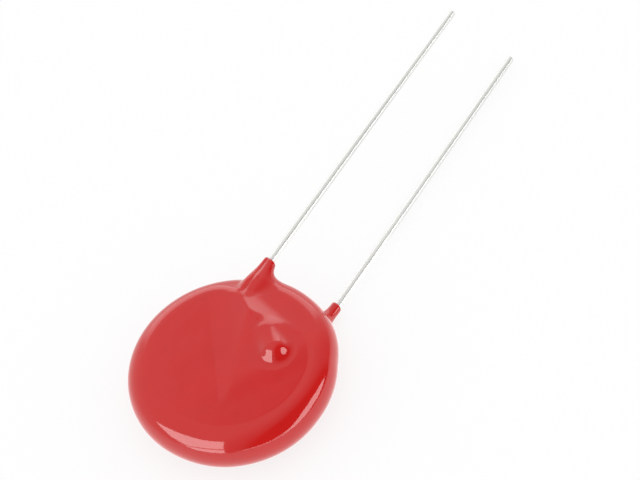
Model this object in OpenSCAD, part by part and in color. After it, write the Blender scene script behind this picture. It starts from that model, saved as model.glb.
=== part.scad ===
// Thermally protected varistor: a zinc-oxide disc with two crossed wire leads,
// a fusible link on its front face and one dip-coated skin over all of it.
// Sizes are in millimetres. The pieces are drawn about the disc's centre, front face up and
// leads along +Y, and seat() sets them down on their back.

/* [Ceramic disc] */
// Diameter of the ceramic disc
disc_d = 20; // [18:0.1:22]
// Thickness of the ceramic disc
disc_t = 3.6; // [3:0.1:4.6]
// Rounding of the disc's edges
disc_edge_r = 0.4; // [0.2:0.05:0.6]
// Diameter of the silver electrode on each face
electrode_d = 18.4; // [17.8:0.1:18.8]
// Thickness of each electrode
electrode_t = 0.05; // [0.03:0.01:0.1]

/* [Leads] */
// Diameter of the tinned wire
lead_d = 0.8; // [0.6:0.02:1]
// Sideways distance between the two leads
lead_pitch = 7.1; // [6.5:0.1:8.5]
// Sideways offset of the pair from the disc's centre line
lead_shift = 1; // [0:0.1:1.2]
// Length of the front lead beyond the coated body's edge
front_lead_l = 40.7; // [25.4:0.1:60]
// Length of the rear lead beyond the coated body's edge
rear_lead_l = 41; // [25.4:0.1:60]
// Distance from the disc's edge back to the bend of each lead
bend_inset = 3.1; // [2.8:0.1:3.2]
// Small turn that each lead makes inside its collar, towards the other side
toe_angle = 3; // [1:0.5:5]
// Centre-line radius of that turn
toe_r = 8; // [6:0.5:12]
// Angle between each lead's run over the disc and its straight part
bend_angle = 56; // [52:1:60]
// Centre-line radius of the bend
bend_r = 1.2; // [1:0.1:1.6]
// Length of the front lead from its bend to its end
front_run = 3.3; // [3:0.1:3.4]
// Length of the rear lead from its bend to its end
rear_run = 8.6; // [7:0.1:9]
// Solder left between a lead and what it is soldered to
solder_gap = 0.05; // [0.03:0.01:0.1]

/* [Insulating wafer] */
// Length of the alumina wafer, along the leads
wafer_l = 4.9; // [4.8:0.1:5.2]
// Width of the wafer, across the leads
wafer_w = 5.2; // [5.1:0.1:5.6]
// Thickness of the wafer
wafer_t = 0.3; // [0.2:0.05:0.5]
// Thickness of the adhesive under the wafer
adhesive_t = 0.05; // [0.03:0.01:0.1]
// Distance from the disc's edge back to the wafer
wafer_inset = 1.5; // [1.5:0.1:1.8]
// Part of the wafer's width that lies on the outer side of the lead's axis
wafer_outer = 0.75; // [0.6:0.05:0.8]

/* [Thermal link] */
// Diameter of the fusible alloy wire
link_d = 0.8; // [0.6:0.05:0.9]
// Length of the fusible alloy wire
link_l = 4; // [3.6:0.1:4.2]
// Gap in the solder between the lead's end and the link
link_gap = 0.3; // [0.2:0.05:0.5]
// Diameter of the solder joint between lead and link
lead_joint_d = 1.5; // [1.3:0.05:1.6]
// Length of that joint to each side of the gap's middle
lead_joint_l = 1.1; // [0.9:0.1:1.3]
// Diameter of the solder joint between link and electrode
link_joint_d = 1.8; // [1.5:0.05:2]
// Length of that joint back along the link from its end
link_joint_l = 1.2; // [0.9:0.1:1.4]
// Diameter of the hot-melt cover at the link's middle
cover_d = 1.7; // [1.65:0.05:1.8]
// Diameter of the rear lead's solder joint
rear_joint_d = 1.4; // [1.2:0.05:1.6]
// Length of the rear lead's solder joint
rear_joint_l = 4.6; // [3:0.1:5]

/* [Coating] */
// Coating beyond the disc's edge
coat_rim = 1; // [0.8:0.05:1.4]
// Coating over each electrode
coat_face = 0.95; // [0.8:0.05:1.2]
// Coating over the leads where they cross the disc
coat_ridge = 0.3; // [0.25:0.05:0.5]
// Coating over the wafer
coat_wafer = 0.45; // [0.3:0.05:0.6]
// Coating over the link's cover, in the hollow between the two humps
coat_cover = 0.25; // [0.2:0.05:0.4]
// Coating pooled over the lead's joint, at the top of the first hump
lead_pool = 0.6; // [0.4:0.05:0.8]
// Coating pooled over the link's joint, at the top of the second hump
link_pool = 0.8; // [0.5:0.05:1]
// Rounding of the slope that climbs to the first hump
ramp_r = 1.6; // [1.2:0.1:2]
// Rounding of the first hump's top
lead_pool_r = 1.5; // [1.2:0.1:1.8]
// Rounding of the second hump's top
link_pool_r = 1.25; // [1.15:0.05:1.5]
// Coating on the wire at the end of each collar
coat_wire = 0.2; // [0.12:0.02:0.3]
// Reach of the fillet that the wet coating leaves round a hump or along a ridge
fillet_k = 1.5; // [1:0.1:1.8]
// Reach of the wider fillet at the foot of each collar
root_k = 2.5; // [1.8:0.1:2.8]
// Length of the front collar beyond the coated body's edge
front_collar_l = 1.4; // [1.2:0.1:3]
// Length of the rear collar beyond the coated body's edge
rear_collar_l = 2.6; // [1.2:0.1:4]
// Radius of the hollow flare at the foot of each collar's sleeve
flare_r = 1.6; // [1.2:0.1:2.4]
// Rounding of each collar's end
collar_edge_r = 0.12; // [0.06:0.02:0.16]

/* [Hidden] */

round_fn = 64;
sectors = 96;
root_inset = 0.5;
root_blend_inset = 1;
root_blend_l = 3.5;
face_rings = 17;
rim_rings = 18;
trace_steps = 14;
trace_start = 3;

disc_r = disc_d / 2;
electrode_z = disc_t / 2 + electrode_t;
body_r = disc_r + coat_rim;
rim_r = electrode_z + coat_face;
spine_r = body_r - rim_r;

lead_r = lead_d / 2;
front_x = lead_shift - lead_pitch / 2;
rear_x = lead_shift + lead_pitch / 2;
wafer_z = electrode_z + adhesive_t;
wafer_top_z = wafer_z + wafer_t;
front_z = wafer_top_z + solder_gap + lead_r;
rear_z = -electrode_z - solder_gap - lead_r;
bend_y = disc_r - bend_inset;

// Direction of a lead that has turned by an angle towards side (1 or -1) on its way in
function heading(side, angle) = [side * sin(angle), -cos(angle), 0];
front_dir = heading(1, bend_angle);
rear_dir = heading(-1, bend_angle);
front_mouth_y = body_r + front_collar_l;
rear_mouth_y = body_r + rear_collar_l;
front_toe = [front_x, front_mouth_y - toe_r * tan(toe_angle / 2), front_z];
rear_toe = [rear_x, rear_mouth_y - toe_r * tan(toe_angle / 2), rear_z];
function toe_shift(toe, y) = (toe.y - y) * tan(toe_angle);
front_bend = [front_x + toe_shift(front_toe, bend_y), bend_y, front_z];
rear_bend = [rear_x - toe_shift(rear_toe, bend_y), bend_y, rear_z];
front_tip_y = body_r + front_lead_l;
rear_tip_y = body_r + rear_lead_l;
collar_r = lead_r + coat_wire;

// Distances along the front run, counted from the lead's bend
gap_mid = front_run + link_gap / 2;
link_start = front_run + link_gap;
link_end = link_start + link_l;
cover_start = gap_mid + lead_joint_l;
cover_end = link_end - link_joint_l;
joint_overrun = 0.35;
// A bead of solder starts clear of the face under the wire
bead_start_r = lead_r + solder_gap / 2;
// A bent wire is drawn a little thinner in its bend, which starts inside the straight parts
bend_neck = 0.02;
bend_overlap = 0.1;
bead_steps = 8;

function along(start, dir, s) = start + dir * s;
function clamp01(v) = min(max(v, 0), 1);
function smooth_step(v) = let (t = clamp01(v)) t * t * (3 - 2 * t);
function smooth_min(a, b, k) = min(a, b) - pow(max(k - abs(a - b), 0), 2) / (4 * k);

// Distance from p to a rod with round ends at a and b, whose radius goes from ra to rb
function rod(p, a, b, ra, rb) =
    let (ab = b - a, t = clamp01((p - a) * ab / (ab * ab)))
    norm(p - a - ab * t) - ra - (rb - ra) * t;

// Distance from p to the plain coated disc, a slab with a fully round rim
function slab(p) = norm([max(norm([p.x, p.y]) - spine_r, 0), p.z]) - rim_r;

// Distance from p to the coating over the wafer
wafer_low = [front_x - wafer_outer, disc_r - wafer_inset - wafer_l];
wafer_mid = wafer_low + [wafer_w, wafer_l] / 2;
function wafer_skin(p) =
    let (q = [abs(p.x - wafer_mid.x) - wafer_w / 2, abs(p.y - wafer_mid.y) - wafer_l / 2,
        abs(p.z) - wafer_top_z])
    norm([max(q.x, 0), max(q.y, 0), max(q.z, 0)]) + min(max(q.x, max(q.y, q.z)), 0) - coat_wafer;

ridge_r = lead_r + coat_ridge;
cover_skin_r = cover_d / 2 + coat_cover;
root_y = body_r - root_inset;
front_root = [front_x + toe_shift(front_toe, root_y), root_y, front_z];
rear_root = [rear_x - toe_shift(rear_toe, root_y), root_y, rear_z];
rear_end = along(rear_bend, rear_dir, rear_run);

// Place over the front run: s along it, aside across it, and the height of a rod's axis
function over_run(s, aside, z) = let (p = along(front_bend, front_dir, s))
    [p.x - aside * front_dir.y, p.y + aside * front_dir.x, z];
// The humps' crest wanders a little to each side of the run
ramp_start = 0.2;
ramp_aside = 0.5;
lead_hump_aside = -0.3;
hollow_aside = 0.3;
link_hump_aside = -0.15;
ramp_foot = over_run(ramp_start, ramp_aside, rim_r - ramp_r);
lead_hump = over_run(gap_mid, lead_hump_aside, front_z + lead_joint_d / 2 + lead_pool - lead_pool_r);
hollow = over_run(cover_start, hollow_aside, front_z);
link_hump = over_run(link_end - link_joint_l / 2, link_hump_aside,
    front_z + link_joint_d / 2 + link_pool - link_pool_r);

// The wet skin: the plain slab, drawn by surface tension over what lies under it. The fillets
// grow wider towards the collars.
function reach(p) = fillet_k + (root_k - fillet_k)
    * smooth_step(1 - (body_r - root_blend_inset - p.y) / root_blend_l);
function leads_skin(p) = min(
    rod(p, front_root, front_bend, ridge_r, ridge_r),
    rod(p, rear_root, rear_bend, ridge_r, ridge_r));
function padded(p) = smooth_min(slab(p), wafer_skin(p), fillet_k);
function first_hump(p) = smooth_min(padded(p),
    rod(p, ramp_foot, lead_hump, ramp_r, lead_pool_r), fillet_k);
function second_hump(p) = smooth_min(first_hump(p),
    rod(p, hollow, link_hump, cover_skin_r, link_pool_r), fillet_k);
function rear_ridges(p) = min(leads_skin(p), rod(p, rear_bend, rear_end, ridge_r, ridge_r));
function skin(p) = p.z > 0
    ? smooth_min(second_hump(p), leads_skin(p), reach(p))
    : smooth_min(slab(p), rear_ridges(p), reach(p));

// Walks in from outside along n until it meets the skin
function trace(p, n, t, steps) = steps == 0 ? t : trace(p, n, t - skin(p + n * t), steps - 1);
function on_skin(p, n) = p + n * trace(p, n, trace_start, trace_steps);

// Section of the plain slab from the front face's middle round the rim to the rear face's
// middle: each row is radius, height and the outward normal's two parts
section = concat(
    [for (i = [1 : face_rings]) [spine_r * i / face_rings, rim_r, 0, 1]],
    [for (i = [1 : rim_rings - 1]) let (a = 90 - 180 * i / rim_rings)
        [spine_r + rim_r * cos(a), rim_r * sin(a), cos(a), sin(a)]],
    [for (i = [face_rings : -1 : 1]) [spine_r * i / face_rings, -rim_r, 0, -1]]);
ring_count = len(section);
body_points = concat(
    [on_skin([0, 0, rim_r], [0, 0, 1])],
    [for (s = section) for (j = [0 : sectors - 1]) let (a = 360 * j / sectors)
        on_skin([s[0] * cos(a), s[0] * sin(a), s[1]], [s[2] * cos(a), s[2] * sin(a), s[3]])],
    [on_skin([0, 0, -rim_r], [0, 0, -1])]);
last_point = len(body_points) - 1;
function at(i, j) = 1 + i * sectors + j % sectors;
body_faces = concat(
    [for (j = [0 : sectors - 1]) [0, at(0, j + 1), at(0, j)]],
    [for (i = [0 : ring_count - 2]) for (j = [0 : sectors - 1]) each [
        [at(i, j), at(i, j + 1), at(i + 1, j + 1)],
        [at(i, j), at(i + 1, j + 1), at(i + 1, j)]]],
    [for (j = [0 : sectors - 1]) [last_point, at(ring_count - 1, j), at(ring_count - 1, j + 1)]]);

seat_z = -min([for (p = body_points) p.z]);
seat_y = (body_r - max(front_tip_y, rear_tip_y)) / 2;

// Sets a piece down on its back, in the middle of its footprint
module seat() translate([0, seat_y, seat_z]) children();

// Turns a shape whose axis is +Z to lie along a run that starts at a bend
module on_run(bend, dir, s) translate(along(bend, dir, s))
    rotate([0, 0, atan2(dir.y, dir.x)]) rotate([0, 90, 0]) children();

// Turns a shape whose axis is +Z to lie along a lead's straight part
module on_lead(x, y, z) translate([x, y, z]) rotate([-90, 0, 0]) children();

// Bend in a wire that starts at a point and turns towards side, from one heading to another
module elbow(start, side, from, to, r)
    translate(start + r * [side * cos(from), sin(from), 0])
        rotate([0, 0, side > 0 ? 180 + from : -to])
            rotate_extrude(angle = to - from, $fn = round_fn)
                translate([r, 0]) circle(d = lead_d - 2 * bend_neck, $fn = round_fn);

// Straight wire from s0 to s1 along a heading
module straight(start, dir, s0, s1) on_run(start, dir, s0 - bend_overlap)
    cylinder(h = s1 - s0 + 2 * bend_overlap, d = lead_d, $fn = round_fn);

// Wire of one lead: the straight part, the small turn in the collar, the bend and the run over
// the disc
module wire(toe, bend, tip_y, side, run) {
    toe_tangent = toe_r * tan(toe_angle / 2);
    toe_dir = heading(side, toe_angle);
    turn = bend_angle - toe_angle;
    tangent = bend_r * tan(turn / 2);
    on_lead(toe.x, toe.y + toe_tangent - bend_overlap, toe.z)
        cylinder(h = tip_y - toe.y - toe_tangent + bend_overlap, d = lead_d, $fn = round_fn);
    elbow(toe + [0, toe_tangent, 0], side, 0, toe_angle, toe_r);
    straight(toe, toe_dir, toe_tangent, norm(bend - toe) - tangent);
    elbow(bend - tangent * toe_dir, side, toe_angle, bend_angle, bend_r);
    on_run(bend, heading(side, bend_angle), tangent - bend_overlap)
        cylinder(h = run - tangent + bend_overlap, d = lead_d, $fn = round_fn);
}
module front_wire() wire(front_toe, front_bend, front_tip_y, 1, front_run);
module rear_wire() wire(rear_toe, rear_bend, rear_tip_y, -1, rear_run);

// Bead of solder or hot melt about a run, given as the radius at each distance along it
module bead(bend, dir, profile) on_run(bend, dir, 0)
    rotate_extrude($fn = round_fn) polygon(concat(
        [[0, profile[0].y]], profile, [[0, profile[len(profile) - 1].y]]));

// Such a profile from s0 to s1, with its own radius at each end and in the middle
function bead_profile(s0, s1, r0, r_mid, r1) = [for (i = [0 : bead_steps]) let (t = i / bead_steps)
    [(1 - t) * r0 + t * r1 + (r_mid - (r0 + r1) / 2) * sin(180 * t), (1 - t) * s0 + t * s1]];
function after_first(points) = [for (i = [1 : len(points) - 1]) points[i]];

lead_joint_profile = bead_profile(gap_mid - lead_joint_l, cover_start,
    bead_start_r, lead_joint_d / 2, lead_joint_d / 2);
cover_profile = bead_profile(cover_start, cover_end, lead_joint_d / 2, cover_d / 2, link_joint_d / 2);
link_joint_profile = bead_profile(cover_end, link_end + joint_overrun,
    link_joint_d / 2, link_joint_d / 2, link_d / 2);
rear_joint_profile = bead_profile(rear_run + joint_overrun - rear_joint_l, rear_run + joint_overrun,
    bead_start_r, rear_joint_d / 2, lead_r);

// Room above the front electrode's plane or below the rear one's
module above(z) translate([-disc_r, -disc_r, z]) cube([disc_d, disc_d, disc_t]);
module below(z) translate([-disc_r, -disc_r, z - disc_t]) cube([disc_d, disc_d, disc_t]);

module disc_form() rotate_extrude($fn = round_fn)
    intersection() {
        translate([0, -disc_t / 2]) square([disc_r, disc_t]);
        union() {
            translate([0, -disc_t / 2]) square([disc_r - disc_edge_r, disc_t]);
            translate([0, disc_edge_r - disc_t / 2]) square([disc_r, disc_t - 2 * disc_edge_r]);
            for (side = [-1, 1])
                translate([disc_r - disc_edge_r, side * (disc_t / 2 - disc_edge_r)])
                    circle(r = disc_edge_r, $fn = round_fn);
        }
    }

module electrode_form(z) translate([0, 0, z]) cylinder(h = electrode_t, d = electrode_d, $fn = round_fn);

module wafer_block(z, t) translate([wafer_low.x, wafer_low.y, z]) cube([wafer_w, wafer_l, t]);

module lead_joint_form() intersection() {
    bead(front_bend, front_dir, lead_joint_profile);
    above(wafer_top_z);
}
module cover_form() difference() {
    intersection() {
        bead(front_bend, front_dir, cover_profile);
        above(electrode_z);
    }
    wafer_block(0, wafer_top_z);
}
module link_joint_form() intersection() {
    bead(front_bend, front_dir, link_joint_profile);
    above(electrode_z);
}
module rear_joint_form() intersection() {
    bead(rear_bend, rear_dir, rear_joint_profile);
    below(-electrode_z);
}
module link_form() on_run(front_bend, front_dir, link_start)
    cylinder(h = link_l, d = link_d, $fn = round_fn);

// Sleeve of coating that ran down a lead, flared where it leaves the body
module collar(x, z, end_y) {
    flare_angle = 30;
    flare_l = body_r + flare_r * sin(flare_angle) - root_y;
    length = end_y - root_y;
    steps = 6;
    on_lead(x, root_y, z) rotate_extrude($fn = round_fn) polygon(concat(
        [[0, 0]],
        [for (i = [0 : steps]) let (a = flare_angle * (1 - i / steps))
            [collar_r + flare_r * (1 - cos(a)), flare_l - flare_r * sin(a)]],
        [for (a = [0 : 30 : 90])
            [collar_r - collar_edge_r * (1 - cos(a)), length - collar_edge_r * (1 - sin(a))]],
        [[0, length]]));
}

// Everything inside the coating, as one form whose parts run into each other
module inside() {
    disc_form();
    translate([0, 0, -electrode_z]) cylinder(h = 2 * electrode_z, d = electrode_d, $fn = round_fn);
    wafer_block(0, wafer_top_z);
    bead(front_bend, front_dir, concat(lead_joint_profile, after_first(cover_profile),
        after_first(link_joint_profile)));
    bead(rear_bend, rear_dir, rear_joint_profile);
    front_wire();
    rear_wire();
}

module coating() color([0.76, 0.1, 0.09]) seat() difference() {
    union() {
        polyhedron(points = body_points, faces = body_faces, convexity = 6);
        collar(front_x, front_z, front_mouth_y);
        collar(rear_x, rear_z, rear_mouth_y);
    }
    inside();
}

module varistor_disc() color([0.2, 0.2, 0.22]) seat() disc_form();
module front_electrode() color([0.83, 0.83, 0.8]) seat() electrode_form(disc_t / 2);
module rear_electrode() color([0.83, 0.83, 0.8]) seat() electrode_form(-electrode_z);
module ceramic_wafer() color([0.93, 0.93, 0.9]) seat() wafer_block(wafer_z, wafer_t);
module wafer_adhesive() color([0.85, 0.7, 0.35]) seat() wafer_block(electrode_z, adhesive_t);
module thermal_link() color([0.6, 0.62, 0.66]) seat() link_form();
module link_cover() color([0.88, 0.8, 0.55]) seat() difference() {
    cover_form();
    link_form();
}
module lead_joint() color([0.7, 0.71, 0.74]) seat() difference() {
    lead_joint_form();
    front_wire();
    link_form();
}
module link_joint() color([0.7, 0.71, 0.74]) seat() difference() {
    link_joint_form();
    link_form();
}
module rear_joint() color([0.7, 0.71, 0.74]) seat() difference() {
    rear_joint_form();
    rear_wire();
}
module front_lead() color([0.78, 0.79, 0.8]) seat() front_wire();
module rear_lead() color([0.78, 0.79, 0.8]) seat() rear_wire();

coating();
varistor_disc();
front_electrode();
rear_electrode();
ceramic_wafer();
wafer_adhesive();
thermal_link();
link_cover();
lead_joint();
link_joint();
rear_joint();
front_lead();
rear_lead();
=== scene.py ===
import math

import bpy
import numpy as np
from mathutils import Matrix, Vector


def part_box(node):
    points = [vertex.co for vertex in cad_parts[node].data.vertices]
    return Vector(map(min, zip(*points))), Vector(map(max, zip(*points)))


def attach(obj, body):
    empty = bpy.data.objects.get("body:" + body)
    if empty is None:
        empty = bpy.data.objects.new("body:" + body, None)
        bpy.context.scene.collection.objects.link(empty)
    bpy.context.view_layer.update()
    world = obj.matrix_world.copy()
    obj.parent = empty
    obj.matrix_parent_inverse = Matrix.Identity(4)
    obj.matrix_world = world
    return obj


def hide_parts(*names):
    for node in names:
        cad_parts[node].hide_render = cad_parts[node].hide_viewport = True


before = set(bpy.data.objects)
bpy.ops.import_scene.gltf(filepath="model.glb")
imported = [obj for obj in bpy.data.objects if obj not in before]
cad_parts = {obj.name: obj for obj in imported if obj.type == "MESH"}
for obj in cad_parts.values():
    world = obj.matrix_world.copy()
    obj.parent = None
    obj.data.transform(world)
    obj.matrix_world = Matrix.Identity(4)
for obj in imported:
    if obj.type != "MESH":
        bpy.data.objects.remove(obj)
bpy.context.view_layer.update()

# Sizes are in millimetres and are turned into metres where an object is made. Places on the
# coating are given from the middle of the ceramic disc, with the part's own axes. A value whose
# name ends in K is the distance within which two surfaces run smoothly into each other.
MM = 0.001

# Places read from the frame
disc_low, disc_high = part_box("varistor_disc")
coat_low, coat_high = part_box("coating")
front_low, front_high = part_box("front_lead")
rear_low, rear_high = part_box("rear_lead")
disc_mid = np.array((disc_low + disc_high) / 2) / MM

# Sizes of the coated body and of the leads' bends, as the part has them. A lead bends by
# BEND_ANGLE at BEND_INSET inside the disc's rim, and its toe is the small bend just inside the
# end of its collar.
LEAD_R = 0.4
ELECTRODE_T = 0.05
COAT_FACE = 0.95
BEND_INSET = 3.1
BEND_ANGLE = math.radians(56)
TOE_ANGLE = math.radians(3)
TOE_R = 8.0
FRONT_COLLAR_L = 1.4
REAR_COLLAR_L = 2.6
body_r = (coat_high.x - coat_low.x) / MM / 2
rim_r = (disc_high.z - disc_low.z) / MM / 2 + ELECTRODE_T + COAT_FACE
spine_r = body_r - rim_r
disc_r = (disc_high.x - disc_low.x) / MM / 2
front_x = front_low.x / MM + LEAD_R
rear_x = rear_high.x / MM - LEAD_R
front_z = (front_low.z + front_high.z) / MM / 2 - disc_mid[2]
rear_z = (rear_low.z + rear_high.z) / MM / 2 - disc_mid[2]

# Where the body is fuller than a round disc: azimuth and half width in degrees, and how much.
# DRIP is where the last drop hung as the coating set, and WEB is between the collars.
DRIP = (45.0, 45.0, 0.13)
WEB = (163.0, 45.0, 0.5)

# The low ridge on the back, over the rear lead
REAR_RUN = 8.6
RIDGE_R = 0.7
RIDGE_K = 1.5

# The collars' mouths: the y of each, how far they lean, how their edge is rounded, and how far
# past the mouth a collar's rod goes on before the mouth is cut from it
FRONT_MOUTH = 12.3
REAR_MOUTH = 13.1
MOUTH_LEAN = 0.2
MOUTH_K = 0.3
PAST_MOUTH = 1.5
# The rear collar is one run of coating, wider at its foot
REAR_COLLAR_R = 0.6
REAR_FOOT_R = 0.72
# The front collar is two runs of coating side by side, one round the wire and a thinner one
# beside it, with a crease between them. The thinner one's two ends: how far beside the wire,
# y, and how far above the wire.
WIRE_RUN_R = 0.55
WIRE_RUN_DX = 0.08
SIDE_RUN_R = 0.35
SIDE_RUN = ((-0.3, FRONT_MOUTH, 0.15), (-0.6, 7.5, 0.2))
CREASE_K = 0.06

# How far the fillets at the collars' roots reach. In front this goes from FACE_K to ROOT_K
# along FACE_ROOT_Y, and at the back from RIDGE_K to ROOT_K along BACK_ROOT_Y. The rear
# collar's own reach is REAR_COLLAR_K high up, and becomes the same as theirs down DEEP_Z.
FACE_K = 0.5
ROOT_K = 2.2
REAR_COLLAR_K = 0.5
FACE_ROOT_Y = (7.5, 9.8)
BACK_ROOT_Y = (6.5, 10.0)
DEEP_Z = (0.5, -1.5)
# On the outer side of the front lead the reach falls to this share, across OUTER_DX from the
# lead and along OUTER_Y
OUTER_SHARE = 0.75
OUTER_DX = (0.3, -0.7)
OUTER_Y = (8.0, 9.5)

# The mound over the wafer: a ridge along the lead's run that rises away from the collar. Its
# flanks and ends fall at their own slopes, and it stays on the flat of the face. MOUND_TOP is
# its height at the lead's bend, from where MOUND_FROM and MOUND_TO are measured.
MOUND_ASIDE = -0.4
MOUND_TOP = 3.6
MOUND_RISE = 0.19
MOUND_FROM = -1.4
MOUND_TO = 2.6
FAR_SLOPE = math.radians(30)
NEAR_SLOPE = math.radians(30)
END_SLOPE = math.radians(16)
START_SLOPE = math.radians(20)
MOUND_EDGE_K = 0.35
MOUND_K = 1.2
FACE_R = 8.3
FACE_EDGE_K = 1.0

# The hump over the link, as a tapered rod: x, y, the height of the top and the radius
LINK_HUMP = ((2.3, 4.0, 3.9, 0.9), (4.05, 2.65, 4.32, 1.2))
LINK_HUMP_K = 1.3

# The skin's mesh: the size of its cells, how many of them are left free round the coating, how
# often and how far it is evened out, and how each vertex is brought back onto the surface
NET_STEP = 0.145
FREE_CELLS = 2
EVEN_ROUNDS = 5
EVEN_SHARE = 0.6
LANDINGS = 2
LEAST_SLOPE = 0.2
SLOPE_STEP = 0.01

# Camera, in the disc's frame: where it looks from, its roll, and where the disc's middle falls
IMAGE_W = 640
IMAGE_H = 480
SENSOR_MM = 36.0
CAM_AZ = 41.986
CAM_EL = 51.558
CAM_ROLL = -13.218
CAM_DIST = 200.0
CAM_PX_PER_MM = 9.6681
CAM_MID_PX = (232.52, 370.64)
CAM_CLIP_M = 0.01

# Finish of the materials: noise has this many features to the metre, and bumps are this high
MOTTLE_SCALE = 260
WAVE_SCALE = 420
GRAIN_SCALE = 900
WAVE_HEIGHT = 0.02 * MM
STREAK_HEIGHT = 0.006 * MM
GRAIN_HEIGHT = 0.01 * MM
STREAK_STRETCH = (1, 0.06, 1)
RAMP_ENDS = (0.3, 0.7)

# Flat lights that only gloss shows: the corners of each, as azimuth and elevation in degrees
# seen from the disc, and its radiance
PANEL_DISTANCE_M = 0.5
PANELS = {
    "window": ([(-49, 22), (-17, 7.5), (1, 17), (19, 17.5), (16, 47), (-4, 46), (-28, 41)], 5.6),
    "window_low": ([(-25, 6), (-10, 1), (20, 1), (19, 15), (1, 14), (-17, 5)], 5.4),
    "strip_low": ([(28, 3), (50, 1), (72, 1), (83, 10), (60, 6), (40, 6)], 3.0),
    "strip_near": ([(70, 1), (100, 2), (100, 21), (82, 10)], 5.0),
    "strip_far": ([(100, 2), (136, 8), (128, 17), (117, 23), (100, 21)], 5.0),
}

# The world lights the object at one even level. Gloss shows a room instead: dark on one side,
# brighter low down behind, and dimmer in one place high up behind. Levels are given at angles
# from a way, which has its azimuth and elevation, and is straight up for LOW_LEVELS.
# DIM_LEVEL is added in full within the first of DIM_ANGLES, and not at all past the second.
EVEN_LEVEL = 1.0
DARK_WAY = (93, 3)
DARK_LEVELS = [(48, 0.08), (60, 0.5), (85, 1.0)]
BACK_WAY = (-142, 0)
BACK_LEVELS = [(30, 1.15), (38, 0.0)]
LOW_LEVELS = [(57, 0.0), (65, 1.0)]
DIM_WAY = (-141, 58)
DIM_ANGLES = (3.0, 8.0)
DIM_LEVEL = -0.45

# Floor
FLOOR_HALF_M = 3.0
FLOOR_TONE = 0.98
FLOOR_GLOW_SHARE = 0.8
FLOOR_NEAR_WAY = (45, 0)
FLOOR_NEAR_LEVELS = [(60, 0.6), (88, 0.1)]


# Distance fields, negative inside
def length(v):
    return np.sqrt((v * v).sum(-1))


def smooth_min(a, b, k):
    """The lesser of two distances, rounded where they are within k of each other."""
    return np.minimum(a, b) - np.maximum(k - np.abs(a - b), 0) ** 2 / (4 * k)


def smooth_max(a, b, k):
    """The greater of two distances, rounded where they are within k of each other."""
    return -smooth_min(-a, -b, k)


def smooth_step(t):
    t = np.clip(t, 0, 1)
    return t * t * (3 - 2 * t)


def between(value, start, end):
    """Goes smoothly from 0 to 1 as the value goes from start to end."""
    return smooth_step((value - start) / (end - start))


def rod(p, a, b, ra, rb):
    """Distance to a rod with round ends at a and b, whose radius goes from ra to rb."""
    ab = b - a
    t = np.clip(((p - a) @ ab) / (ab @ ab), 0, 1)
    return length(p - a - t[..., None] * ab) - ra - (rb - ra) * t


def slope(flat, up, angle):
    """Distance above a plane that falls at that angle along the flat way."""
    return flat * math.sin(angle) + up * math.cos(angle)


# The coated body
def fuller(p, radius, place):
    """How much fuller the body is at p: most towards the place's azimuth, 0 past its width."""
    az, half, height = place
    az = math.radians(az)
    turn = (p[..., 0] * math.sin(az) - p[..., 1] * math.cos(az)) / np.maximum(radius, 1e-6)
    edge = math.cos(math.radians(half))
    return height * smooth_step((turn - edge) / (1 - edge))


def slab(p):
    """The coated disc, with its round rim."""
    radius = np.hypot(p[..., 0], p[..., 1])
    spine = spine_r + fuller(p, radius, DRIP) + fuller(p, radius, WEB)
    return np.hypot(np.maximum(radius - spine, 0), p[..., 2]) - rim_r


def lead_bend(x, z, collar_l, side):
    """Where a lead bends: its straight part turns a little just inside the end of its collar."""
    toe = body_r + collar_l - TOE_R * math.tan(TOE_ANGLE / 2)
    bend_y = disc_r - BEND_INSET
    return np.array([x + side * (toe - bend_y) * math.tan(TOE_ANGLE), bend_y, z])


front_bend = lead_bend(front_x, front_z, FRONT_COLLAR_L, 1)
rear_bend = lead_bend(rear_x, rear_z, REAR_COLLAR_L, -1)
front_dir = np.array([math.sin(BEND_ANGLE), -math.cos(BEND_ANGLE), 0.0])
front_side = np.array([-front_dir[1], front_dir[0], 0.0])
rear_dir = np.array([-math.sin(BEND_ANGLE), -math.cos(BEND_ANGLE), 0.0])
rear_end = rear_bend + rear_dir * REAR_RUN


def mound(p):
    """The mound over the wafer, as a roof of four planes that stays on the flat of the face."""
    q = p - front_bend
    along = q @ front_dir
    aside = q @ front_side - MOUND_ASIDE
    up = p[..., 2] - MOUND_TOP
    over = (up - MOUND_RISE * along) * math.cos(math.atan(MOUND_RISE))
    roof = smooth_max(slope(aside, over, FAR_SLOPE), slope(-aside, over, NEAR_SLOPE), MOUND_EDGE_K)
    for flat, place, angle in ((along - MOUND_TO, MOUND_TO, END_SLOPE),
                               (MOUND_FROM - along, MOUND_FROM, START_SLOPE)):
        roof = smooth_max(roof, slope(flat, up - MOUND_RISE * place, angle), MOUND_EDGE_K)
    return smooth_max(roof, np.hypot(p[..., 0], p[..., 1]) - FACE_R, FACE_EDGE_K)


def link_hump(p):
    """The hump over the link: its two ends are balls that are given by their tops."""
    low, high = (np.array([x, y, top - r]) for x, y, top, r in LINK_HUMP)
    return rod(p, low, high, LINK_HUMP[0][3], LINK_HUMP[1][3])


def back_ridge(p):
    return rod(p, rear_bend, rear_end, RIDGE_R, RIDGE_R)


# The collars
def cut(collar, p, x, mouth):
    """Ends a collar at its mouth, which leans a little and has a rounded edge."""
    cap = p[..., 1] - mouth + MOUTH_LEAN * (p[..., 0] - x)
    return smooth_max(collar, cap, MOUTH_K)


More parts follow.
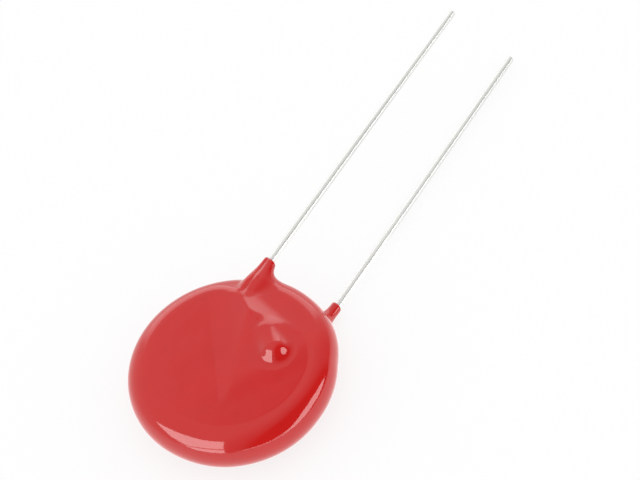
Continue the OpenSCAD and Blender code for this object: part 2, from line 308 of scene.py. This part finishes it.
def front_collar(p):
    """Two runs of coating side by side, with a crease between them."""
    beside = np.array([WIRE_RUN_DX, 0, 0])
    end = np.array([front_x, FRONT_MOUTH + PAST_MOUTH, front_z])
    wire_run = rod(p, end + beside, front_bend + beside, WIRE_RUN_R, WIRE_RUN_R)
    top, foot = (np.array([front_x + dx, y, front_z + dz]) for dx, y, dz in SIDE_RUN)
    side_run = rod(p, top, foot, SIDE_RUN_R, SIDE_RUN_R)
    return cut(smooth_min(wire_run, side_run, CREASE_K), p, front_x, FRONT_MOUTH)


def rear_collar(p):
    """One run of coating round the wire, wider at its foot."""
    end = np.array([rear_x, REAR_MOUTH + PAST_MOUTH, rear_z])
    run = rod(p, end, rear_bend, REAR_COLLAR_R, REAR_FOOT_R)
    return cut(run, p, rear_x, REAR_MOUTH)


def skin(p):
    """The whole skin: its front and back halves have their own fillets and meet at z 0."""
    x, y, z = p[..., 0], p[..., 1], p[..., 2]
    body = slab(p)
    in_front = front_collar(p)
    behind = rear_collar(p)
    outer = between(x - front_x, *OUTER_DX) * between(y, *OUTER_Y)
    outer_cut = 1 - (1 - OUTER_SHARE) * outer
    face_k = (FACE_K + (ROOT_K - FACE_K) * between(y, *FACE_ROOT_Y)) * outer_cut
    back_k = (RIDGE_K + (ROOT_K - RIDGE_K) * between(y, *BACK_ROOT_Y)) * outer_cut
    deep = between(z, *DEEP_Z)
    front = smooth_min(body, mound(p), MOUND_K)
    front = smooth_min(front, link_hump(p), LINK_HUMP_K)
    front = smooth_min(front, in_front, face_k)
    front = smooth_min(front, behind, REAR_COLLAR_K + (face_k - REAR_COLLAR_K) * deep)
    back = smooth_min(body, in_front, back_k)
    rear_k = REAR_COLLAR_K + (back_k - REAR_COLLAR_K) * deep
    back = smooth_min(back, np.minimum(behind, back_ridge(p)), rear_k)
    return np.where(z > 0, front, back)


# Making a mesh of a field
def gradient(field, p):
    g = np.empty_like(p)
    for i in range(3):
        step = np.zeros(3)
        step[i] = SLOPE_STEP
        g[..., i] = (field(p + step) - field(p - step)) / (2 * SLOPE_STEP)
    return g


def sample(field, axes):
    """The field's values on a grid, worked out one slice at a time."""
    slices = []
    for x in axes[0]:
        grid = np.meshgrid([x], axes[1], axes[2], indexing="ij")
        slices.append(field(np.stack(grid, -1))[0])
    return np.stack(slices)


def crossings(values, axis):
    """The edges along one axis that the surface crosses: the corner each starts from, the point
    where it is crossed, and whether that corner is outside."""
    first = [slice(None)] * 3
    second = [slice(None)] * 3
    first[axis] = slice(0, -1)
    second[axis] = slice(1, None)
    a, b = values[tuple(first)], values[tuple(second)]
    corner = np.argwhere((a < 0) != (b < 0))
    value_a = a[tuple(corner.T)]
    value_b = b[tuple(corner.T)]
    point = corner.astype(float)
    point[:, axis] += value_a / (value_a - value_b)
    return corner, point, value_a >= 0


def cells_round(corner, axis):
    """The four cells that share each edge, in order round it."""
    ring = np.repeat(corner[:, None], 4, axis=1)
    for i, (du, dv) in enumerate(((0, 0), (-1, 0), (-1, -1), (0, -1))):
        ring[:, i, (axis + 1) % 3] += du
        ring[:, i, (axis + 2) % 3] += dv
    return ring


def surface_net(field, low, high, step):
    """A closed quad mesh of the surface where the field is 0: one vertex in each cell that the
    surface crosses, and one quad round each edge that it crosses."""
    values = sample(field, [np.arange(low[i], high[i] + step, step) for i in range(3)])
    cells = tuple(np.array(values.shape) - 1)
    total = np.zeros(cells + (3,))
    count = np.zeros(cells)
    quads = []
    for axis in range(3):
        corner, point, outside = crossings(values, axis)
        ring = cells_round(corner, axis)
        for i in range(4):
            cell = tuple(ring[:, i].T)
            np.add.at(total, cell, point)
            np.add.at(count, cell, 1)
        ring[outside] = ring[outside][:, ::-1]
        quads.append(ring)
    used = np.argwhere(count > 0)
    number = np.full(cells, -1)
    number[tuple(used.T)] = np.arange(len(used))
    points = total[tuple(used.T)] / count[tuple(used.T)][:, None] * step + np.array(low)
    faces = np.concatenate(quads)
    return points, number[faces[..., 0], faces[..., 1], faces[..., 2]]


def settle(field, points, faces):
    """Evens the net out along the surface, and puts each vertex on it. Returns the points and
    the surface's normals there."""
    pairs = np.concatenate([faces[:, [i, (i + 1) % 4]] for i in range(4)])
    for _ in range(EVEN_ROUNDS):
        total = np.zeros_like(points)
        count = np.zeros(len(points))
        for here, there in ((0, 1), (1, 0)):
            np.add.at(total, pairs[:, here], points[pairs[:, there]])
            np.add.at(count, pairs[:, here], 1)
        points = points + EVEN_SHARE * (total / count[:, None] - points)
        for _ in range(LANDINGS):
            g = gradient(field, points)
            steep = np.maximum((g * g).sum(-1), LEAST_SLOPE)
            points = points - g * (field(points) / steep)[:, None]
    g = gradient(field, points)
    return points, g / length(g)[:, None]


def add_object(name, data):
    obj = bpy.data.objects.new(name, data)
    bpy.context.scene.collection.objects.link(obj)
    return obj


# Materials
def new_material(name):
    """A material, its nodes and its main shader."""
    material = bpy.data.materials.new(name)
    material.use_nodes = True
    tree = material.node_tree
    return material, tree, tree.nodes["Principled BSDF"]


def empty_material(name):
    """A material without nodes, and its node tree."""
    material = bpy.data.materials.new(name)
    material.use_nodes = True
    material.node_tree.nodes.clear()
    return material, material.node_tree


def noise(tree, scale, detail, stretch=(1, 1, 1)):
    coords = tree.nodes.new("ShaderNodeTexCoord")
    mapping = tree.nodes.new("ShaderNodeMapping")
    mapping.inputs["Scale"].default_value = stretch
    texture = tree.nodes.new("ShaderNodeTexNoise")
    texture.inputs["Scale"].default_value = scale
    texture.inputs["Detail"].default_value = detail
    tree.links.new(coords.outputs["Object"], mapping.inputs["Vector"])
    tree.links.new(mapping.outputs["Vector"], texture.inputs["Vector"])
    return texture.outputs["Fac"]


def bump(tree, height, distance):
    node = tree.nodes.new("ShaderNodeBump")
    node.inputs["Strength"].default_value = 1.0
    node.inputs["Distance"].default_value = distance
    tree.links.new(height, node.inputs["Height"])
    return node.outputs["Normal"]


def ramp(tree, fac, low, high):
    """A colour between two colours, by a value."""
    node = tree.nodes.new("ShaderNodeValToRGB")
    for element, position, color in zip(node.color_ramp.elements, RAMP_ENDS, (low, high)):
        element.color = (*color, 1)
        element.position = position
    tree.links.new(fac, node.inputs["Fac"])
    return node.outputs["Color"]


def red_epoxy():
    """Glossy red, with a faint mottle and a slight waviness."""
    material, tree, shader = new_material("red_epoxy")
    shader.inputs["Roughness"].default_value = 0.07
    shader.inputs["IOR"].default_value = 1.52
    mottle = noise(tree, MOTTLE_SCALE, detail=3)
    red = ramp(tree, mottle, (0.573, 0.0094, 0.0082), (0.599, 0.0100, 0.0088))
    tree.links.new(red, shader.inputs["Base Color"])
    wave = bump(tree, noise(tree, WAVE_SCALE, detail=2), WAVE_HEIGHT)
    tree.links.new(wave, shader.inputs["Normal"])
    return material


def tinned_wire():
    """Pale tin, with faint drawing streaks along the wire."""
    material, tree, shader = new_material("tinned_wire")
    shader.inputs["Metallic"].default_value = 0.6
    shader.inputs["Roughness"].default_value = 0.35
    streaks = noise(tree, GRAIN_SCALE, detail=3, stretch=STREAK_STRETCH)
    tin = ramp(tree, streaks, (0.72, 0.72, 0.70), (0.79, 0.79, 0.765))
    tree.links.new(tin, shader.inputs["Base Color"])
    tree.links.new(bump(tree, streaks, STREAK_HEIGHT), shader.inputs["Normal"])
    return material


def plain(name, low, high, roughness, metallic=0.0):
    """A fine-grained finish between two colours, for the pieces inside."""
    material, tree, shader = new_material(name)
    shader.inputs["Metallic"].default_value = metallic
    shader.inputs["Roughness"].default_value = roughness
    grain = noise(tree, GRAIN_SCALE, detail=3)
    tree.links.new(ramp(tree, grain, low, high), shader.inputs["Base Color"])
    tree.links.new(bump(tree, grain, GRAIN_HEIGHT), shader.inputs["Normal"])
    return material


epoxy = red_epoxy()
wire = tinned_wire()
silver = plain("fired_silver", (0.74, 0.74, 0.72), (0.84, 0.84, 0.81), roughness=0.45, metallic=1.0)
solder = plain("solder", (0.56, 0.57, 0.59), (0.70, 0.71, 0.73), roughness=0.35, metallic=1.0)
ceramic = plain("zinc_oxide", (0.030, 0.030, 0.034), (0.055, 0.055, 0.060), roughness=0.75)
alumina = plain("alumina", (0.80, 0.80, 0.76), (0.90, 0.90, 0.87), roughness=0.6)
glue = plain("adhesive", (0.50, 0.33, 0.10), (0.60, 0.42, 0.15), roughness=0.4)
alloy = plain("fusible_alloy", (0.50, 0.51, 0.54), (0.62, 0.63, 0.66), roughness=0.3, metallic=1.0)
melt = plain("hot_melt", (0.66, 0.55, 0.28), (0.78, 0.68, 0.40), roughness=0.35)

NODE_MATERIALS = {
    "coating": epoxy,
    "varistor_disc": ceramic,
    "front_electrode": silver,
    "rear_electrode": silver,
    "ceramic_wafer": alumina,
    "wafer_adhesive": glue,
    "thermal_link": alloy,
    "link_cover": melt,
    "lead_joint": solder,
    "link_joint": solder,
    "rear_joint": solder,
    "front_lead": wire,
    "rear_lead": wire,
}
for node, material in NODE_MATERIALS.items():
    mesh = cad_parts[node].data
    mesh.materials.clear()
    mesh.materials.append(material)


# The coating's outer skin
def make_skin():
    free = FREE_CELLS * NET_STEP
    low = np.array(coat_low) / MM - disc_mid - free
    high = np.array(coat_high) / MM - disc_mid + free
    points, faces = surface_net(skin, low, high, NET_STEP)
    points, normals = settle(skin, points, faces)
    mesh = bpy.data.meshes.new("coating_skin")
    mesh.from_pydata(((points + disc_mid) * MM).tolist(), [], faces.tolist())
    mesh.update()
    mesh.shade_smooth()
    mesh.normals_split_custom_set_from_vertices(normals.tolist())
    mesh.materials.append(epoxy)
    skin_piece = add_object("coating_skin", mesh)
    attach(skin_piece, "root")
    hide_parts("coating")


make_skin()


def direction(az, el):
    """The way towards an azimuth, 0 at -Y and 90 at +X, and an elevation, in degrees."""
    a, e = math.radians(az), math.radians(el)
    return Vector((math.sin(a) * math.cos(e), -math.cos(a) * math.cos(e), math.sin(e)))


# Camera
def place_camera():
    back = direction(CAM_AZ, CAM_EL)
    roll = math.radians(CAM_ROLL)
    flat_right = Vector((0, 0, 1)).cross(back).normalized()
    flat_up = back.cross(flat_right)
    right = math.cos(roll) * flat_right + math.sin(roll) * flat_up
    up = -math.sin(roll) * flat_right + math.cos(roll) * flat_up
    off_x = (CAM_MID_PX[0] - IMAGE_W / 2) / CAM_PX_PER_MM
    off_y = (IMAGE_H / 2 - CAM_MID_PX[1]) / CAM_PX_PER_MM
    place = Vector(disc_mid) + CAM_DIST * back - off_x * right - off_y * up
    data = bpy.data.cameras.new("camera")
    data.sensor_width = SENSOR_MM
    data.lens = CAM_PX_PER_MM * CAM_DIST * SENSOR_MM / IMAGE_W
    data.clip_start = CAM_CLIP_M
    camera = add_object("camera", data)
    turn = Matrix((right, up, back)).transposed().to_4x4()
    camera.matrix_world = Matrix.Translation(place * MM) @ turn
    bpy.context.scene.camera = camera


place_camera()


# Light
def make_panel(name, corners, radiance):
    """A flat light that only gloss shows. The rest of the light comes evenly from all round."""
    middle = Vector(disc_mid) * MM
    mesh = bpy.data.meshes.new(name)
    mesh.from_pydata([middle + PANEL_DISTANCE_M * direction(az, el) for az, el in corners],
                     [], [list(range(len(corners)))])
    lamp = add_object(name, mesh)
    material, tree = empty_material(name)
    glow = tree.nodes.new("ShaderNodeEmission")
    glow.inputs["Strength"].default_value = radiance
    out = tree.nodes.new("ShaderNodeOutputMaterial")
    tree.links.new(glow.outputs["Emission"], out.inputs["Surface"])
    mesh.materials.append(material)
    lamp.visible_camera = False
    lamp.visible_diffuse = False
    lamp.visible_shadow = False


for name, (corners, radiance) in PANELS.items():
    make_panel(name, corners, radiance)


def facing(tree, way, towards):
    """The cosine of the angle between two ways."""
    dot = tree.nodes.new("ShaderNodeVectorMath")
    dot.operation = "DOT_PRODUCT"
    dot.inputs[1].default_value = towards
    tree.links.new(way, dot.inputs[0])
    return dot.outputs["Value"]


def lobe(tree, way, towards, stops):
    """A level that depends on the angle between two ways, as pairs of degrees and level."""
    cosine = facing(tree, way, towards)
    levels = tree.nodes.new("ShaderNodeValToRGB")
    elements = levels.color_ramp.elements
    # The ramp has two elements to begin with, and the loop after this one places them all
    while len(elements) < len(stops):
        elements.new(0.5)
    for element, (angle, level) in zip(elements, sorted(stops, reverse=True)):
        element.position = max(math.cos(math.radians(angle)), 0)
        element.color = (level, level, level, 1)
    tree.links.new(cosine, levels.inputs["Fac"])
    return levels.outputs["Color"]


def spot(tree, way, towards, angles, level):
    """A level that is whole within the first angle of a way, and 0 beyond the second."""
    near, far = (math.cos(math.radians(angle)) for angle in angles)
    fade = tree.nodes.new("ShaderNodeMapRange")
    fade.inputs["From Min"].default_value = far
    fade.inputs["From Max"].default_value = near
    fade.inputs["To Min"].default_value = 0.0
    fade.inputs["To Max"].default_value = level
    tree.links.new(facing(tree, way, towards), fade.inputs["Value"])
    return fade.outputs["Result"]


def level_way(tree, way):
    """The way with its height left out, and of length 1."""
    flat = tree.nodes.new("ShaderNodeVectorMath")
    flat.operation = "MULTIPLY"
    flat.inputs[1].default_value = (1, 1, 0)
    unit = tree.nodes.new("ShaderNodeVectorMath")
    unit.operation = "NORMALIZE"
    tree.links.new(way, flat.inputs[0])
    tree.links.new(flat.outputs["Vector"], unit.inputs[0])
    return unit.outputs["Vector"]


def combine(tree, operation, a, b):
    """A maths node on two values, each a number or another node's output."""
    node = tree.nodes.new("ShaderNodeMath")
    node.operation = operation
    for i, value in enumerate((a, b)):
        if isinstance(value, (int, float)):
            node.inputs[i].default_value = value
        else:
            tree.links.new(value, node.inputs[i])
    return node.outputs["Value"]


def make_world():
    """Even white light from all round, and the room that only gloss shows."""
    world = bpy.data.worlds.new("world")
    bpy.context.scene.world = world
    world.use_nodes = True
    tree = world.node_tree
    background = tree.nodes["Background"]
    is_gloss = tree.nodes.new("ShaderNodeLightPath").outputs["Is Glossy Ray"]
    way = tree.nodes.new("ShaderNodeTexCoord").outputs["Generated"]
    dark = lobe(tree, way, direction(*DARK_WAY), DARK_LEVELS)
    back = lobe(tree, level_way(tree, way), direction(*BACK_WAY), BACK_LEVELS)
    low_down = lobe(tree, way, (0, 0, 1), LOW_LEVELS)
    dim = spot(tree, way, direction(*DIM_WAY), DIM_ANGLES, DIM_LEVEL)
    room = combine(tree, "ADD", dark, combine(tree, "MULTIPLY", back, low_down))
    room = combine(tree, "ADD", room, dim)
    extra = combine(tree, "SUBTRACT", room, EVEN_LEVEL)
    shown = combine(tree, "MULTIPLY", extra, is_gloss)
    background.inputs["Color"].default_value = (1, 1, 1, 1)
    tree.links.new(combine(tree, "ADD", shown, EVEN_LEVEL), background.inputs["Strength"])


make_world()


def make_floor():
    """A white floor. To the camera and to gloss most of it glows at about white, and the matt
    rest of it shows the object's shadow. All other rays meet it as matt."""
    half = FLOOR_HALF_M
    mesh = bpy.data.meshes.new("floor")
    mesh.from_pydata([(-half, -half, 0), (half, -half, 0), (half, half, 0), (-half, half, 0)],
                     [], [(0, 1, 2, 3)])
    floor = add_object("floor", mesh)
    material, tree = empty_material("floor")
    out = tree.nodes.new("ShaderNodeOutputMaterial")
    matt = tree.nodes.new("ShaderNodeBsdfDiffuse")
    matt.inputs["Color"].default_value = (FLOOR_TONE, FLOOR_TONE, FLOOR_TONE, 1)
    glow = tree.nodes.new("ShaderNodeEmission")
    path = tree.nodes.new("ShaderNodeLightPath")
    coords = tree.nodes.new("ShaderNodeTexCoord")
    # Gloss shows the floor a little brighter, most of all on the camera's side
    place = level_way(tree, coords.outputs["Object"])
    near = lobe(tree, place, direction(*FLOOR_NEAR_WAY), FLOOR_NEAR_LEVELS)
    extra = combine(tree, "MULTIPLY", near, path.outputs["Is Glossy Ray"])
    tree.links.new(combine(tree, "ADD", extra, EVEN_LEVEL), glow.inputs["Strength"])
    seen = combine(tree, "MAXIMUM", path.outputs["Is Camera Ray"], path.outputs["Is Glossy Ray"])
    mix = tree.nodes.new("ShaderNodeMixShader")
    tree.links.new(combine(tree, "MULTIPLY", seen, FLOOR_GLOW_SHARE), mix.inputs["Fac"])
    tree.links.new(matt.outputs["BSDF"], mix.inputs[1])
    tree.links.new(glow.outputs["Emission"], mix.inputs[2])
    tree.links.new(mix.outputs["Shader"], out.inputs["Surface"])
    mesh.materials.append(material)


make_floor()

bpy.context.scene.view_settings.view_transform = "Standard"
